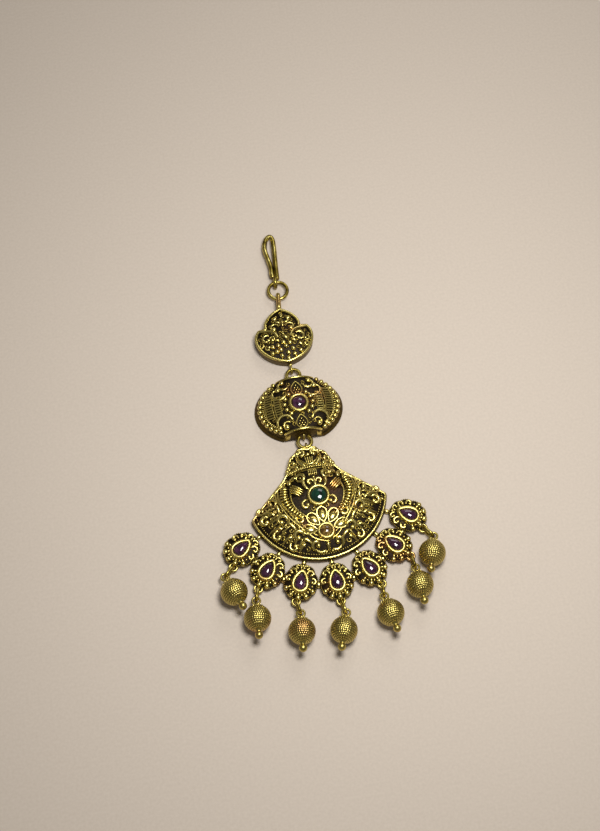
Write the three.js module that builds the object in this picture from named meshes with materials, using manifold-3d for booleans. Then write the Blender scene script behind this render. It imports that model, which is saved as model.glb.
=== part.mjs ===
// Maang tikka: a forehead jewel of cast brass in an antique gold finish, laid out on its back.
// A hair hook carries three hollow-backed cast plates on jump rings: a lotus, a domed medallion and
// a fan-shaped pendant with a row of seven stone settings soldered to its rim, each with a bead drop.
// Millimetres, +Z up, +Y towards the hook, origin on the table under the middle of the whole jewel.
import * as THREE from "three";
import { mergeVertices } from "three/addons/utils/BufferGeometryUtils.js";
import Module from "manifold-3d";

const wasm = await Module();
wasm.setup();

// Driving dimensions.
const linkHeight = 2; // height of the plane in which the flat-lying rings rest
const castWall = 1.1; // wall of the hollow-backed plates
const seatGap = 0.25; // clear space between a stone and the metal round it

const wireHook = { wire: 1.25, eyeRadius: 1.4, legGap: 1.5, bow: 1.35, length: 16.6 };
const roundRing = { hookRadius: 2.9, linkRadius: 2, wire: 0.9 };
const eye = { radius: 1.1, wire: 0.7 }; // the small soldered eyes that the rings pass through
const eyeHole = eye.radius - eye.wire / 2;
const eyeLean = 5.75; // from a setting's centre to the middle of its eye
const dropRing = { reach: 4.1, height: 3.4, wire: 0.8 }; // reach: between the two eyes it joins

const lotusSize = { halfWidth: 8.8, foot: -8.4, tip: 9.8, rim: 2.9, crown: 4.4 };
const medallionSize = { halfWidth: 12.3, halfHeight: 9.66, end: 8.6, side: 1.6, crown: 6 };
const fanSize = {
  radius: 20.8,
  corner: 13.6, // the fan's corners lie this many degrees below its centre
  shoulder: 8.8,
  shoulderY: 5.3,
  neck: 5.2,
  tip: 14,
  rim: 1.7,
  crown: 6.4,
};
const settingSize = {
  orbit: 27.6, // from the fan's centre
  halfWidth: 4.8,
  halfLength: 5.5,
  lobes: 10,
  lobeDepth: 0.35,
  edge: 2,
  crown: 3.1,
};
const bead = { radius: 3.9, eyeReach: 5.5, tipReach: 5.2, tipRadius: 1.2, neck: 0.75, droop: 12 };

// Where things sit on each plate, in its own frame.
const lotusEyeX = 0.6;
const bailTurn = -5; // the lotus's long loop leans a little to one side
const medallionEyeY = 8.87;
const pendantEye = { x: 0.4, y: 14.4 };
const stonePlace = { centre: { x: 0.2, y: -2.5 }, flower: { x: 0.2, y: -12.95 } };
const flowerTop = 5.6; // height of the lower bezel on the fan
const dropEyeHeight = 1.7;
const slots = [
  { x: -8.3, y: -6.1, turn: 38 },
  { x: 8.9, y: -10.2, turn: -36 },
];

const roundStone = { medallion: 4, centre: 4.6, flower: 3.2 }; // diameters
const pearStone = { width: 3, length: 5 };
const bezelWall = 0.65;

// Where each plate lies on the table, and how far it is turned from the jewel's own line.
const lay = {
  hook: { x: -0.44, y: 44.6, turn: -3.2 },
  hookRing: { x: -0.05, y: 41.7 },
  lotus: { x: -0.8, y: 25, turn: -0.3 },
  lotusRing: { x: 0, y: 12.4 },
  medallion: { x: -0.13, y: 1.55, turn: 0 },
  medallionRing: { x: -0.1, y: -9.3 },
  pendant: { x: 0.42, y: -25.7, turn: 2.8 },
};

// The seven settings, by their angle round the fan's centre from straight down. stone is how far the
// pear's point leans, and eyeAt the side on which the drop hangs. ring and drop are how these two lie
// on the table, from straight down.
const settings = [
  { at: -63, stone: 59, eyeAt: -36, ring: -44, drop: 21 },
  { at: -42.3, stone: 43, eyeAt: -39, ring: -18, drop: -4 },
  { at: -21.4, stone: 23, eyeAt: -25, ring: 10, drop: -6 },
  { at: 0, stone: 0, eyeAt: 0, ring: 11, drop: -17 },
  { at: 21.4, stone: -29, eyeAt: 25, ring: -2, drop: 9 },
  { at: 42.3, stone: -42, eyeAt: 43, ring: 8, drop: 2 },
  { at: 63, stone: -54, eyeAt: 36, ring: 37, drop: -16 },
];

const brass = new THREE.MeshStandardMaterial({ color: 0xa08a3c, roughness: 0.34, metalness: 1 });
const violet = new THREE.MeshStandardMaterial({ color: 0x4a1f46, roughness: 0.12, metalness: 0 });
const green = new THREE.MeshStandardMaterial({ color: 0x0c3a2c, roughness: 0.12, metalness: 0 });
const amber = new THREE.MeshStandardMaterial({ color: 0x7a6a24, roughness: 0.15, metalness: 0 });

const { degToRad: rad, lerp } = THREE.MathUtils;

// Solids: three.js shapes in, joined and cut, three.js geometry out.
function solidOf(geometry) {
  const bare = geometry.index ? geometry.toNonIndexed() : geometry.clone();
  for (const name of Object.keys(bare.attributes)) {
    if (name !== "position") bare.deleteAttribute(name);
  }
  const merged = mergeVertices(bare, 1e-4);
  return new wasm.Manifold(
    new wasm.Mesh({
      numProp: 3,
      vertProperties: new Float32Array(merged.attributes.position.array),
      triVerts: new Uint32Array(merged.index.array),
    }),
  );
}

function geometryOf(solid) {
  const { vertProperties, triVerts } = solid.getMesh();
  const geometry = new THREE.BufferGeometry();
  geometry.setAttribute("position", new THREE.BufferAttribute(vertProperties, 3));
  geometry.setIndex(new THREE.BufferAttribute(triVerts, 1));
  geometry.computeVertexNormals();
  return geometry;
}

const joined = (...geometries) => geometries.map(solidOf).reduce((whole, piece) => whole.add(piece));

// A closed skin from one point through rings of equal count to a last point. Seen from the first
// point, every ring runs counterclockwise.
function loft(first, rings, last) {
  const count = rings[0].length;
  const points = [first, ...rings.flat(), last];
  const at = (ring, i) => 1 + ring * count + (i % count);
  const index = [];
  for (let i = 0; i < count; i++) {
    index.push(0, at(0, i), at(0, i + 1));
    for (let k = 0; k + 1 < rings.length; k++) {
      index.push(at(k, i), at(k + 1, i), at(k + 1, i + 1), at(k, i), at(k + 1, i + 1), at(k, i + 1));
    }
    index.push(at(rings.length - 1, i), points.length - 1, at(rings.length - 1, i + 1));
  }
  return new THREE.BufferGeometry().setFromPoints(points).setIndex(index);
}

// A hollow-backed plate over a closed outline: height(share, point) is its face, where share is 0 in
// the middle and 1 at the rim. lean is how far the side wall spreads towards its foot per millimetre.
function plate(outline, height, { lean = 0, steps = [0.35, 0.62, 0.84, 1] } = {}) {
  const ring = (share, reachOf, lift) =>
    outline.map((p) => {
      const q = p.clone().setLength(reachOf(p, share));
      return new THREE.Vector3(q.x, q.y, lift(share, q));
    });
  const spread = (p) => p.length() + lean * height(1, p);
  const face = steps.map((share) => ring(share, (p) => p.length() * share, height));
  const foot = [ring(1, spread, () => 0), ring(1, (p) => spread(p) - castWall, () => 0)];
  const ceiling = steps
    .slice()
    .reverse()
    .map((share) => ring(share, (p) => (p.length() - castWall) * share, (s, q) => height(s, q) - castWall));
  const top = new THREE.Vector3(0, 0, height(0, new THREE.Vector2(0, 0)));
  return loft(top, [...face, ...foot, ...ceiling], top.clone().setZ(top.z - castWall));
}

// A solid dome on a flat base, for settings and stones.
function dome(outline, base, height, steps) {
  const ring = (share, z) => outline.map((p) => new THREE.Vector3(p.x * share, p.y * share, z));
  const face = steps.map((share) => ring(share, height(share)));
  const top = new THREE.Vector3(0, 0, height(0));
  return loft(top, [...face, ring(1, base)], new THREE.Vector3(0, 0, base));
}

const ringFlat = (radius, wire, turns = 20, sides = 8) =>
  new THREE.TorusGeometry(radius, wire / 2, sides, turns);
const flatEye = () => ringFlat(eye.radius, eye.wire, 12, 6);
const standingEye = () => flatEye().rotateY(Math.PI / 2);

// A long ring on edge, from the middle of the wire at the origin to the same at y = reach.
function ovalOnEdge(reach, height, wire) {
  const bend = (height - wire) / 2;
  const end = (middle, from) =>
    [0, 45, 90, 135, 180].map((a) => {
      const turn = rad(from + a);
      return new THREE.Vector3(0, middle + bend * Math.sin(turn), bend * Math.cos(turn));
    });
  const path = new THREE.CatmullRomCurve3([...end(reach - bend, 0), ...end(bend, 180)], true);
  return new THREE.TubeGeometry(path, 18, wire / 2, 6, true);
}

const circle = (radius, count) =>
  Array.from({ length: count }, (_, i) => {
    const a = (2 * Math.PI * i) / count;
    return new THREE.Vector2(radius * Math.cos(a), radius * Math.sin(a));
  });

// A pear outline about its own middle, point towards +Y.
function pear(width, length, divisions = 5) {
  const round = width / 2;
  const low = -length / 2 + round;
  const shape = new THREE.Shape();
  shape.moveTo(0, length / 2);
  shape.bezierCurveTo(-round * 0.55, length * 0.3, -round, length * 0.12, -round, low);
  shape.absarc(0, low, round, Math.PI, 2 * Math.PI, false);
  shape.bezierCurveTo(round, length * 0.12, round * 0.55, length * 0.3, 0, length / 2);
  return shape.getPoints(divisions).slice(0, -1);
}

function prism(outline, from, to) {
  const options = { depth: to - from, bevelEnabled: false };
  return new THREE.ExtrudeGeometry(new THREE.Shape(outline), options).translate(0, 0, from);
}

// A rub-over setting and the pocket it leaves: the stone's outline grown by a wall, and by a gap.
function bezel(grow, from, to, seat) {
  return { wall: prism(grow(bezelWall + seatGap), from, to), pocket: prism(grow(seatGap), seat, to + 1) };
}

// A domed stone: its flat seat, the height of its edge and the height of its top.
function cabochon(outline, seat, girdle, crown) {
  const height = (share) => girdle + (crown - girdle) * Math.sqrt(Math.max(1 - share ** 2, 0));
  return dome(outline, seat, height, [0.35, 0.65, 0.88, 1]);
}

// Hook: a hairpin of wire with a bowed free leg, and the eye that its shank closes into.
function makeHook() {
  const { wire, legGap, bow, length, eyeRadius } = wireHook;
  const half = legGap / 2;
  const top = length - half;
  const line = new THREE.CatmullRomCurve3(
    [
      [half, eyeRadius * 0.8],
      [half, length * 0.4],
      [half + 0.1, length * 0.72],
      [half - 0.1, top - 0.6],
      [-half * 0.4, top + half * 0.6],
      [-half - bow * 0.6, top - 0.9],
      [-half - bow, length * 0.72],
      [-half - bow * 0.45, length * 0.5],
      [-half - 0.02, length * 0.32],
      [-half, length * 0.17],
    ].map(([x, y]) => new THREE.Vector3(x, y, 0)),
  );
  const section = new THREE.Shape(circle(wire / 2, 8));
  const leg = new THREE.ExtrudeGeometry(section, { steps: 26, extrudePath: line, bevelEnabled: false });
  return joined(leg, ringFlat(eyeRadius, wire * 0.9, 16).rotateY(Math.PI / 2));
}

// Lotus: a pointed upper lobe behind two side petals that close into a round foot.
function lotusOutline() {
  const { halfWidth: w, foot, tip } = lotusSize;
  const right = new THREE.Shape();
  right.moveTo(0, foot);
  right.bezierCurveTo(w * 0.5, foot * 0.93, w * 0.98, foot * 0.55, w, -0.4);
  right.quadraticCurveTo(w * 1.01, 1.6, w * 0.86, 3);
  right.lineTo(w * 0.59, 3.3);
  right.bezierCurveTo(w * 0.68, 5.4, w * 0.4, tip * 0.84, 0, tip);
  const half = right.getPoints(5);
  const mirrored = half.slice(1, -1).reverse().map((p) => new THREE.Vector2(-p.x, p.y));
  return [...half, ...mirrored];
}

function makeLotus() {
  const { rim, crown, foot, tip } = lotusSize;
  const body = plate(lotusOutline(), (share) => rim + (crown - rim) * (1 - share ** 2));
  const bail = ovalOnEdge(5.4, 3.8, 1.2).rotateZ(rad(bailTurn)).translate(0, tip - 0.1, linkHeight);
  const eyeY = foot - 2.2;
  const stub = new THREE.BoxGeometry(0.9, 1.6, 1.4).translate(lotusEyeX, foot - 0.7, linkHeight);
  const lowEye = standingEye().translate(lotusEyeX, eyeY, linkHeight);
  return joined(body, bail, stub, lowEye);
}

// Medallion: a puffed oval whose two ends are cut square. Each end wall has an opening with an eye
// set in it, for a ring to pass round.
function medallionOutline() {
  const { halfWidth: a, halfHeight: b, end } = medallionSize;
  const start = Math.asin(end / b);
  const side = (from) => {
    const arc = new THREE.EllipseCurve(0, 0, a, b, from - start, from + start);
    return arc.getPoints(16);
  };
  const corner = a * Math.cos(start);
  const chord = (up) => [0.7, 0.35, 0, -0.35, -0.7].map((t) => new THREE.Vector2(up * t * corner, up * end));
  return [...side(0), ...chord(1), ...side(Math.PI), ...chord(-1)];
}

function medallionHeight(share, p) {
  const { halfWidth: a, halfHeight: b, side, crown } = medallionSize;
  const reach = a * Math.sqrt(Math.max(1 - (p.y / b) ** 2, 0.05));
  const arch = Math.max(1 - Math.abs(p.x / reach) ** 2.1, 0) ** 0.62;
  return side + (crown - side) * arch;
}

function makeMedallion() {
  const { end, crown } = medallionSize;
  const round = (grow) => circle(roundStone.medallion / 2 + grow, 18);
  const { wall, pocket } = bezel(round, crown - 1, crown + 1, crown - 0.25);
  const openings = [-1, 1].map((up) => new THREE.BoxGeometry(4.6, 3, 1.8).translate(0, up * end, linkHeight));
  const eyes = [-1, 1].map((up) => standingEye().translate(0, up * medallionEyeY, linkHeight));
  const shell = solidOf(plate(medallionOutline(), medallionHeight, { lean: 0.19 }));
  const opened = openings.reduce((solid, cut) => solid.subtract(solidOf(cut)), shell);
  return opened.add(joined(wall, eyes[0])).add(solidOf(eyes[1])).subtract(solidOf(pocket));
}

// Pendant: the fan plate, its seven settings, and all the eyes, soldered into one.
function fanOutline() {
  const { radius, corner, shoulder, shoulderY, neck, tip } = fanSize;
  const right = new THREE.Shape();
  right.absarc(0, 0, radius, rad(-90), rad(-corner), false);
  const [outer] = right.getPoints(14).slice(-1);
  for (const t of [0.25, 0.5, 0.75, 1]) right.lineTo(lerp(outer.x, shoulder, t), lerp(outer.y, shoulderY, t));
  right.lineTo(shoulder - 1.5, shoulderY + 1.9);
  right.lineTo(neck + 0.9, tip - 4);
  right.lineTo(neck - 0.1, tip - 2);
  right.lineTo(neck * 0.7, tip - 1.4);
  right.lineTo(neck * 0.5, tip - 0.1);
  right.lineTo(neck * 0.24, tip);
  right.lineTo(neck * 0.14, tip - 0.6);
  const half = right.getPoints(14);
  const mirrored = half.slice(1).reverse().map((p) => new THREE.Vector2(-p.x, p.y));
  return [...half, ...mirrored];
}

// A setting's scalloped border, long way towards the fan.
function settingOutline() {
  const { halfWidth, halfLength, lobes, lobeDepth } = settingSize;
  const count = 3 * lobes;
  return Array.from({ length: count }, (_, i) => {
    const a = (2 * Math.PI * (i + 0.5)) / count;
    const lobe = lobeDepth * (Math.abs(Math.sin((lobes * a) / 2)) - 0.6);
    return new THREE.Vector2((halfWidth + lobe) * Math.cos(a), (halfLength + lobe) * Math.sin(a));
  });
}

// A point in the pendant's frame, at an angle from straight down.
const outwards = (angle, reach) =>
  new THREE.Vector2(Math.sin(rad(angle)), -Math.cos(rad(angle))).multiplyScalar(reach);
const settingCentre = (row) => outwards(row.at, settingSize.orbit);
const settingEye = (row) => settingCentre(row).add(outwards(row.eyeAt, eyeLean));

function makeSetting(row) {
  const { edge, crown, halfLength } = settingSize;
  const centre = settingCentre(row);
  const place = (geometry, turn) => geometry.rotateZ(rad(turn)).translate(centre.x, centre.y, 0);
  const height = (share) => edge + (crown - edge) * (1 - share ** 2.2);
  const body = dome(settingOutline(), 0, height, [0.45, 0.8, 1]);
  const grow = (by) => pear(pearStone.width + 2 * by, pearStone.length + 2.3 * by);
  const { wall, pocket } = bezel(grow, crown - 0.6, crown + 0.9, crown - 0.3);
  const stalk = new THREE.BoxGeometry(1.4, 2.2, 1.2).translate(0, halfLength + 0.8, 0.8);
  const at = settingEye(row);
  return {
    metal: [place(body, row.at), place(stalk, row.at), place(wall, -row.stone)],
    eye: flatEye().translate(at.x, at.y, dropEyeHeight),
    hole: new THREE.CylinderGeometry(eyeHole, eyeHole, 6, 12).rotateX(Math.PI / 2).translate(at.x, at.y, 0),
    pocket: place(pocket, -row.stone),
  };
}

function fanHeight(share, p) {
  const { rim, crown, shoulderY, tip } = fanSize;
  const up = Math.max(p.y - shoulderY, 0) / (tip - shoulderY);
  return rim + (crown - rim) * (1 - share ** 2.1) * (1 - 0.25 * up) + 1.2 * up;
}

function makePendant() {
  const { crown } = fanSize;
  const centre = bezel((by) => circle(roundStone.centre / 2 + by, 18), crown - 2, crown + 0.8, crown - 0.4);
  const flower = bezel((by) => circle(roundStone.flower / 2 + by, 16), 3, flowerTop, flowerTop - 1);
  const atCentre = (geometry) => geometry.translate(stonePlace.centre.x, stonePlace.centre.y, 0);
  const atFlower = (geometry) => geometry.translate(stonePlace.flower.x, stonePlace.flower.y, 0);
  const topEye = standingEye().translate(pendantEye.x, pendantEye.y, linkHeight);
  const parts = settings.map(makeSetting);
  // Solder between each setting and the next.
  const solder = settings.slice(1).map((row, i) => {
    const at = outwards((row.at + settings[i].at) / 2, settingSize.orbit);
    return new THREE.SphereGeometry(1.1, 8, 5).scale(1, 1, 0.8).translate(at.x, at.y, 0.9);
  });
  // A slot on each side shows the table through the openwork beside the birds' tails.
  const slot = new THREE.BoxGeometry(0.9, 3.4, 9);
  const slotCuts = slots.map(({ x, y, turn }) => slot.clone().rotateZ(rad(turn)).translate(x, y, 5));
  const bezels = [atCentre(centre.wall), atFlower(flower.wall)];
  const metal = parts.flatMap((part) => part.metal);
  const blank = joined(plate(fanOutline(), fanHeight), ...bezels, ...metal, ...solder);
  const cuts = [atCentre(centre.pocket), atFlower(flower.pocket), ...slotCuts];
  const dropCuts = parts.flatMap((part) => [part.pocket, part.hole]);
  const cast = [...cuts, ...dropCuts].reduce((solid, cut) => solid.subtract(solidOf(cut)), blank);
  return cast.add(joined(topEye, ...parts.map((part) => part.eye)));
}

// Bead drop: a sphere that narrows to a ball tip, hanging from its own eye. Its eye hole is the origin
// and it hangs towards -Y.
function makeBead() {
  const { radius, eyeReach, tipReach, tipRadius, neck } = bead;
  const onArc = (size, centre, degrees) =>
    new THREE.Vector2(size * Math.sin(rad(degrees)), centre + size * Math.cos(rad(degrees)));
  const sphere = [0, 25, 45, 65, 90, 110, 130].map((angle) => onArc(radius, 0, angle));
  const tip = [60, 100, 140, 180].map((angle) => onArc(tipRadius, -tipReach, angle));
  const profile = [...sphere, new THREE.Vector2(neck, -tipReach + tipRadius * 0.7), ...tip];
  const body = new THREE.LatheGeometry(profile.reverse(), 14).translate(0, -eyeReach, 0);
  const neckPost = new THREE.CylinderGeometry(0.5, 0.7, 1, 8).translate(0, radius - eyeReach + 0.2, 0);
  return joined(body, neckPost, flatEye());
}

// The assembly.
const tikka = new THREE.Group();

function add(name, shape, material, parent, { x = 0, y = 0, z = 0 } = {}) {
  const geometry = shape instanceof THREE.BufferGeometry ? shape : geometryOf(shape);
  const mesh = new THREE.Mesh(geometry, material.clone());
  mesh.name = name;
  mesh.position.set(x, y, z);
  parent.add(mesh);
}

function group(parent, { x, y, z = 0, turn = 0, rise = 0 }) {
  const made = new THREE.Group();
  made.position.set(x, y, z);
  made.rotation.set(rad(rise), 0, rad(turn), "ZXY");
  parent.add(made);
  return made;
}

const linkRing = () => ringFlat(roundRing.linkRadius, roundRing.wire);

add("hook", makeHook(), brass, group(tikka, lay.hook), { z: linkHeight });
add("hook_ring", ringFlat(roundRing.hookRadius, roundRing.wire, 26), brass, group(tikka, lay.hookRing), {
  z: linkHeight,
});
add("lotus", makeLotus(), brass, group(tikka, lay.lotus));
add("lotus_ring", linkRing(), brass, group(tikka, lay.lotusRing), { z: linkHeight });

const medallion = group(tikka, lay.medallion);
const medallionGirdle = medallionSize.crown + 0.35;
add("medallion", makeMedallion(), brass, medallion);
add("medallion_stone", cabochon(circle(roundStone.medallion / 2, 16), medallionSize.crown - 0.05,
  medallionGirdle, medallionGirdle + 0.95), violet, medallion);
add("medallion_ring", linkRing(), brass, group(tikka, lay.medallionRing), { z: linkHeight });

const pendant = group(tikka, lay.pendant);
add("pendant", makePendant(), brass, pendant);
add("centre_stone", cabochon(circle(roundStone.centre / 2, 16), fanSize.crown - 0.2, fanSize.crown + 0.3,
  fanSize.crown + 1.2), green, pendant, stonePlace.centre);
add("flower_stone", cabochon(circle(roundStone.flower / 2, 14), flowerTop - 0.8, flowerTop - 0.5,
  flowerTop + 0.3), amber, pendant, stonePlace.flower);

settings.forEach((row, i) => {
  const number = i + 1;
  const centre = settingCentre(row);
  const seat = settingSize.crown - 0.1;
  const stone = cabochon(pear(pearStone.width, pearStone.length), seat, seat + 0.5, seat + 1.3);
  const stoneGroup = group(pendant, { x: centre.x, y: centre.y, turn: -row.stone });
  add(`setting_stone_${number}`, stone, violet, stoneGroup);

  // A drop lies bent: its ring rises to the bead's eye, which droops from the bead's middle.
  const from = settingEye(row);
  const { radius, eyeReach, droop } = bead;
  const eyeHeight = radius - eyeReach * Math.sin(rad(droop));
  const climb = Math.asin((eyeHeight - dropEyeHeight) / dropRing.reach);
  const heading = row.ring - lay.pendant.turn;
  const to = from.clone().add(outwards(heading, dropRing.reach * Math.cos(climb)));
  const ringGroup = group(pendant, {
    x: from.x,
    y: from.y,
    z: dropEyeHeight,
    turn: 180 + heading,
    rise: THREE.MathUtils.radToDeg(climb),
  });
  add(`drop_ring_${number}`, ovalOnEdge(dropRing.reach, dropRing.height, dropRing.wire), brass, ringGroup);
  const beadGroup = group(pendant, {
    x: to.x,
    y: to.y,
    z: eyeHeight,
    turn: row.drop - lay.pendant.turn,
    rise: -droop,
  });
  add(`drop_bead_${number}`, makeBead(), brass, beadGroup);
});

// Put the origin on the table, under the middle of the whole jewel.
const whole = new THREE.Box3().setFromObject(tikka, true);
const middle = whole.getCenter(new THREE.Vector3());
tikka.position.set(-middle.x, -middle.y, -whole.min.z);

export default tikka;
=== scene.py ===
import math

import bmesh
import bpy
import numpy as np
from mathutils import Matrix, Vector


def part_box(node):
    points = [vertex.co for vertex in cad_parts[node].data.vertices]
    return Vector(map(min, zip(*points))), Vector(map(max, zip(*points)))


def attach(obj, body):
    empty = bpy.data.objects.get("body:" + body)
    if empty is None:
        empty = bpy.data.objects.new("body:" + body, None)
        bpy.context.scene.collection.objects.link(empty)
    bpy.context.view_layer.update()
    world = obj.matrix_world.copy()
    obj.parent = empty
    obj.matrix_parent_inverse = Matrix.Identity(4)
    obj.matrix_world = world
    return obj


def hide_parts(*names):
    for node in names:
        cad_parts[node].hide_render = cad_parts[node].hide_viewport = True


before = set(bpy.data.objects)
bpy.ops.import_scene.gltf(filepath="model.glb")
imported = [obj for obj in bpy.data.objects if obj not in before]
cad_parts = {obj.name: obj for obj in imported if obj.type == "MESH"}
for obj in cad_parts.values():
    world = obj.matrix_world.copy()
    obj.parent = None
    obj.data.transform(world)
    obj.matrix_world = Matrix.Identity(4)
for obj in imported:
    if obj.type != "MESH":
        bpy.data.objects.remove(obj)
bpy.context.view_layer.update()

mm = 0.001

# Where each part lies round the medallion, in mm, and its turn in degrees.
lay = {
    "hook": (-0.44, 44.6, -3.2),
    "lotus": (-0.8, 25, -0.3),
    "medallion": (-0.13, 1.55, 0),
    "pendant": (0.42, -25.7, 2.8),
}
linkHeight = 2
stoneLow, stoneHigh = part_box("medallion_stone")
origin = (stoneLow + stoneHigh) / 2 - Vector(lay["medallion"]) * mm
origin.z = 0


def rowPlace(x, y, turn=0, z=0):
    # from a part's own millimetres to the shared frame
    spot = Matrix.Translation(origin + Vector((x, y, z)) * mm)
    return spot @ Matrix.Rotation(math.radians(turn), 4, "Z") @ Matrix.Scale(mm, 4)


places = {part: rowPlace(*spot) for part, spot in lay.items()}


# Camera

view = {"round": 9.4, "height": 67, "away": 0.45, "lens": 64.98, "sensor": 36}


def makeCamera():
    camera = bpy.data.objects.new("camera", bpy.data.cameras.new("camera"))
    bpy.context.scene.collection.objects.link(camera)
    camera.data.lens = view["lens"]
    camera.data.sensor_width = view["sensor"]
    camera.data.clip_start = 0.01
    camera.data.clip_end = 20
    turn, rise = math.radians(view["round"]), math.radians(view["height"])
    ahead = Vector((math.sin(turn), math.cos(turn), 0))
    back = -ahead * math.cos(rise) + Vector((0, 0, math.sin(rise)))
    camera.location = origin + back * view["away"]
    camera.rotation_euler = (math.radians(90) - rise, 0, -turn)
    bpy.context.scene.camera = camera


makeCamera()


# Materials

def colour(code):
    parts = [int(code[i : i + 2], 16) / 255 for i in (1, 3, 5)]
    linear = [c / 12.92 if c <= 0.04045 else ((c + 0.055) / 1.055) ** 2.4 for c in parts]
    return (*linear, 1)


def addNode(material, kind, settings=None, links=None):
    # one node, its own settings, its input values and what feeds them
    node = material.node_tree.nodes.new(kind)
    for key, value in (settings or {}).items():
        setattr(node, key, value)
    for key, value in (links or {}).items():
        if isinstance(value, bpy.types.NodeSocket):
            material.node_tree.links.new(value, node.inputs[key])
        else:
            node.inputs[key].default_value = value
    return node


def newMaterial(name):
    material = bpy.data.materials.new(name)
    material.use_nodes = True
    return material, material.node_tree.nodes["Principled BSDF"]


def ramp(material, feed, stops):
    node = addNode(material, "ShaderNodeValToRGB", links={"Fac": feed})
    marks = node.color_ramp.elements
    while len(marks) < len(stops):
        marks.new(0.5)
    for mark, (at, code) in zip(marks, stops):
        mark.position = at
        mark.color = colour(code)
    return node.outputs["Color"]


def perMm(size):
    return 1 / (size * mm)  # a texture's scale from the real size of its grain


# Cast brass, chemically darkened and then rubbed, with light and shade painted into its colour: dark olive-brown in the
# hollows, which is patina together with painted shade, and yellow on what stands proud, which is rubbed brass together
# with a painted highlight, with copper-coloured patches where the plating is thin.
def castBrassMaterial():
    material, shader = newMaterial("cast_brass_antiqued_painted_light")
    spot = addNode(material, "ShaderNodeTexCoord").outputs["Object"]
    relief = addNode(material, "ShaderNodeAttribute", {"attribute_name": "relief"}).outputs["Fac"]
    grain = addNode(material, "ShaderNodeTexNoise", links={"Vector": spot, "Scale": perMm(0.5), "Detail": 4})
    patch = addNode(material, "ShaderNodeTexNoise", links={"Vector": spot, "Scale": perMm(7), "Detail": 3})
    rubbed = addNode(material, "ShaderNodeMath", {"operation": "MULTIPLY_ADD"},
                     {0: grain.outputs["Fac"], 1: 0.5, 2: -0.25})
    patinaShadeAndHighlight = addNode(material, "ShaderNodeMath", {"operation": "ADD", "use_clamp": True},
                   {0: relief, 1: rubbed.outputs[0]}).outputs[0]
    # The ramp runs over height above the ground. Its near-black low end is patina with painted shade in the hollows,
    # and its pale yellow top end is a painted highlight on rubbed brass. The copper ramp below does the same.
    gold = ramp(material, patinaShadeAndHighlight, [(0, "#1f170c"), (0.3, "#5c4a20"), (0.6, "#98843c"), (1, "#e4d27c")])
    copper = ramp(material, patinaShadeAndHighlight, [(0, "#3c2210"), (0.4, "#84552a"), (1, "#d89c68")])
    thin = addNode(material, "ShaderNodeMapRange",
                   links={"Value": patch.outputs["Fac"], "From Min": 0.55, "From Max": 0.72, "To Max": 0.6})
    tint = addNode(material, "ShaderNodeMix", {"data_type": "RGBA"},
                   {"Factor": thin.outputs[0], 6: gold, 7: copper})
    rough = addNode(material, "ShaderNodeMapRange", links={"Value": patinaShadeAndHighlight, "To Min": 0.5, "To Max": 0.24})
    metal = addNode(material, "ShaderNodeMapRange", links={"Value": patinaShadeAndHighlight, "To Min": 0.8, "To Max": 1.0})
    pit = addNode(material, "ShaderNodeBump",
                  links={"Height": grain.outputs["Fac"], "Strength": 0.35, "Distance": 0.1 * mm})
    for key, value in (("Base Color", tint.outputs[2]), ("Roughness", rough.outputs[0]),
                       ("Metallic", metal.outputs[0]), ("Normal", pit.outputs[0])):
        material.node_tree.links.new(value, shader.inputs[key])
    return material


# Drawn brass wire with the same plating: smooth and bright, brown where the patina holds.
def wireBrassMaterial():
    material, shader = newMaterial("drawn_brass_wire")
    spot = addNode(material, "ShaderNodeTexCoord").outputs["Object"]
    patina = addNode(material, "ShaderNodeTexNoise", links={"Vector": spot, "Scale": perMm(2.2), "Detail": 4})
    tone = ramp(material, patina.outputs["Fac"],
                [(0.3, "#63531f"), (0.5, "#a4903e"), (0.7, "#dfce7c")])
    fine = addNode(material, "ShaderNodeTexNoise", links={"Vector": spot, "Scale": perMm(0.3), "Detail": 2})
    rough = addNode(material, "ShaderNodeMapRange",
                    links={"Value": patina.outputs["Fac"], "To Min": 0.42, "To Max": 0.2})
    drawn = addNode(material, "ShaderNodeBump",
                    links={"Height": fine.outputs["Fac"], "Strength": 0.15, "Distance": 0.05 * mm})
    shader.inputs["Metallic"].default_value = 1
    for key, value in (("Base Color", tone), ("Roughness", rough.outputs[0]), ("Normal", drawn.outputs[0])):
        material.node_tree.links.new(value, shader.inputs[key])
    return material


# Moulded glass cabochon, fire polished: nearly black in the body, with pale cloudy streaks.
def glassMaterial(name, body, streak, size):
    material, shader = newMaterial(name)
    spot = addNode(material, "ShaderNodeTexCoord").outputs["Object"]
    cloud = addNode(material, "ShaderNodeTexNoise",
                    links={"Vector": spot, "Scale": perMm(size), "Detail": 3, "Distortion": 1.5})
    tone = ramp(material, cloud.outputs["Fac"], [(0.4, body), (0.75, streak)])
    material.node_tree.links.new(tone, shader.inputs["Base Color"])
    for key, value in (("Roughness", 0.06), ("IOR", 1.55), ("Coat Weight", 0.6), ("Coat Roughness", 0.03),
                       ("Transmission Weight", 0.25)):
        shader.inputs[key].default_value = value
    return material


castBrass = castBrassMaterial()
wireBrass = wireBrassMaterial()
violetGlass = glassMaterial("violet_glass_moulded", "#2c0e24", "#6a3a5c", 2.5)
greenGlass = glassMaterial("green_glass_moulded", "#04160f", "#1d5a40", 3)
amberGlass = glassMaterial("amber_glass_moulded", "#5a3c0c", "#d8b45a", 2)
print("camera and materials ready")


# Shapes. A part is a list of pieces, each its points in mm, its faces and its height above the ground.

def arraysOf(bm, relief=0.0):
    bm.verts.index_update()
    points = np.array([v.co[:] for v in bm.verts])
    faces = [tuple(v.index for v in f.verts) for f in bm.faces]
    bm.free()
    return points, faces, np.full(len(points), float(relief))


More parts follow.
